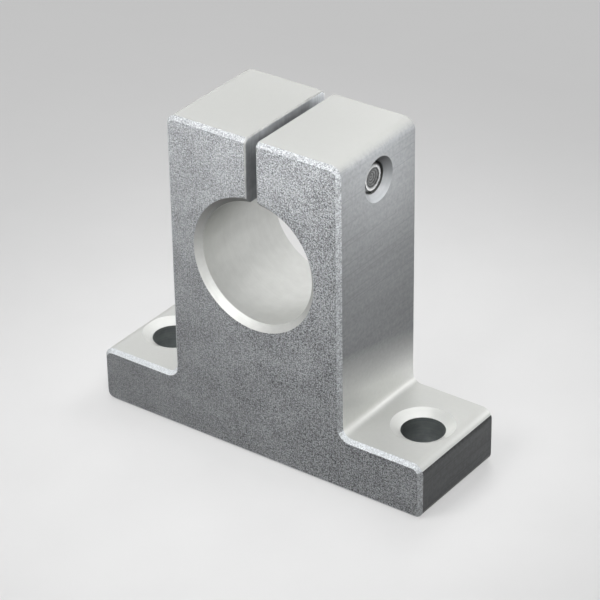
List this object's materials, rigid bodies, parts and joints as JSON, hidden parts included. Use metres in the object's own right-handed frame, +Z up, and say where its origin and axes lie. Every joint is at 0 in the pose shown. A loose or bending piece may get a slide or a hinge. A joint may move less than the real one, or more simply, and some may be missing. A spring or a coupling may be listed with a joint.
{
  "type": "shaft support block",
  "caption": "T-shaped aluminium clamp block that holds the end of a round linear shaft above a flat base, with a slotted bore, a cross clamp screw and countersunk mounting feet.",
  "frame": {"origin": "middle of the base, on the surface that the block is bolted to, below the middle of the shaft bore", "axes": "+X across the feet towards the tapped ear, +Y along the shaft, +Z up from the base"},
  "size_m": [0.048, 0.016, 0.0435],
  "materials": {
    "block_aluminium": "clear anodised extrusion with grit-blasted sawn ends and bright machined bore and countersinks",
    "screw_steel": "plain zinc-bright steel"
  },
  "bodies": {
    "block": {"support_block": "block_aluminium"},
    "screw": {"clamp_screw": "screw_steel"}
  },
  "joints": [
    {"name": "clamp_screw_turn", "type": "hinge", "parent": "block", "child": "screw", "pos_m": [0, 0, 0.0388], "axis": [1, 0, 0], "range_deg": [-360, 0]}
  ]
}
